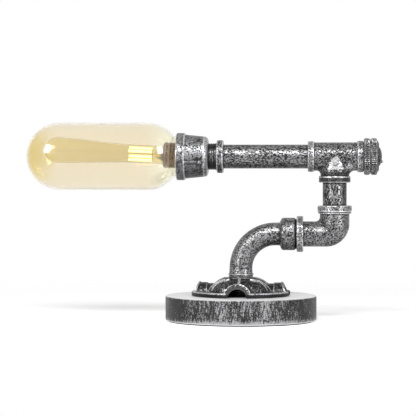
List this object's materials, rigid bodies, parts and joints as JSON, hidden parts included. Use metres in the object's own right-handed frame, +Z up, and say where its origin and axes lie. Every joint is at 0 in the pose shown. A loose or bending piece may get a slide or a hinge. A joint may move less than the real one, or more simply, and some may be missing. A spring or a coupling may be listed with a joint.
{
  "type": "glass table lamp",
  "caption": "Table lamp of cast pipe fittings on a round base, with an amber capsule shade over a screw-in bulb and a rotary switch at the arm's other end.",
  "frame": {"origin": "centre of the base's bottom face, on the table", "axes": "+Z up, +X from the shade towards the switch knob, along the arm; +Y away from the picture's viewer"},
  "size_m": [0.3571, 0.151, 0.1986],
  "materials": {
    "black_iron": "black paint dry-brushed with silver, worn light on the edges",
    "worn_knurl": "black paint dry-brushed with silver, worn knurl",
    "dark_thread": "black threaded neck",
    "brushed_black_base": "black paint with silver streaks brushed down the side, pale silver top",
    "felt_pad": "black felt",
    "black_rubber": "matte black rubber",
    "plated_steel": "zinc plated",
    "brown_moulding": "moulded insulating body",
    "black_moulding": "moulded insulating body",
    "brass": "stamped brass",
    "white_nylon": "natural nylon",
    "brown_insulation": "smooth insulation",
    "white_insulation": "smooth insulation",
    "amber_glass": "clear pale amber glass",
    "amber_bulb_glass": "clear amber glass",
    "clear_glass": "clear glass",
    "black_glass": "black glass insulator",
    "bulb_cap_metal": "rolled screw cap, darkened",
    "solder": "soldered tip",
    "filament_coat": "yellow coat over the sticks"
  },
  "bodies": {
    "lamp": {"base_disc": "brushed_black_base", "base_pad": "felt_pad", "cable_grommet": "black_rubber", "floor_flange": "black_iron", "flange_screws": "plated_steel", "sweep_bend": "black_iron", "street_elbow": "black_iron", "riser_nipple": "black_iron", "pipe_tee": "black_iron", "arm_pipe": "black_iron", "arm_collar": "black_iron", "neck_nipple": "dark_thread", "socket_bell": "black_iron", "grip_ring": "black_rubber", "holder_body": "brown_moulding", "holder_shell": "brass", "holder_contact": "brass", "holder_terminals": "brass", "holder_nipple": "plated_steel", "holder_nut": "plated_steel", "switch_body": "black_moulding", "switch_bushing": "plated_steel", "end_plug": "plated_steel", "lock_ring": "worn_knurl", "terminal_block": "white_nylon", "terminal_screws": "plated_steel", "live_lead": "brown_insulation", "neutral_lead": "white_insulation", "switched_lead": "brown_insulation"},
    "shade": {"shade_glass": "amber_glass"},
    "bulb": {"bulb_glass": "amber_bulb_glass", "bulb_cap": "bulb_cap_metal", "bulb_insulator": "black_glass", "bulb_tip": "solder", "bulb_stem": "clear_glass", "filament_wires": "plated_steel", "filaments": "filament_coat"},
    "knob": {"switch_knob": "worn_knurl", "switch_shaft": "plated_steel"}
  },
  "joints": [
    {"name": "knob_turn", "type": "hinge", "parent": "lamp", "child": "knob", "pos_m": [0.1303, 0, 0.1642], "axis": [1, 0, 0], "continuous": true},
    {"name": "shade_pull", "type": "slide", "parent": "lamp", "child": "shade", "axis": [-0.9998, 0, 0.0209], "range_m": [0, 0.15]},
    {"name": "bulb_back_out", "type": "slide", "parent": "lamp", "child": "bulb", "axis": [-0.9989, 0, 0.0471], "range_m": [0, 0.011]}
  ]
}
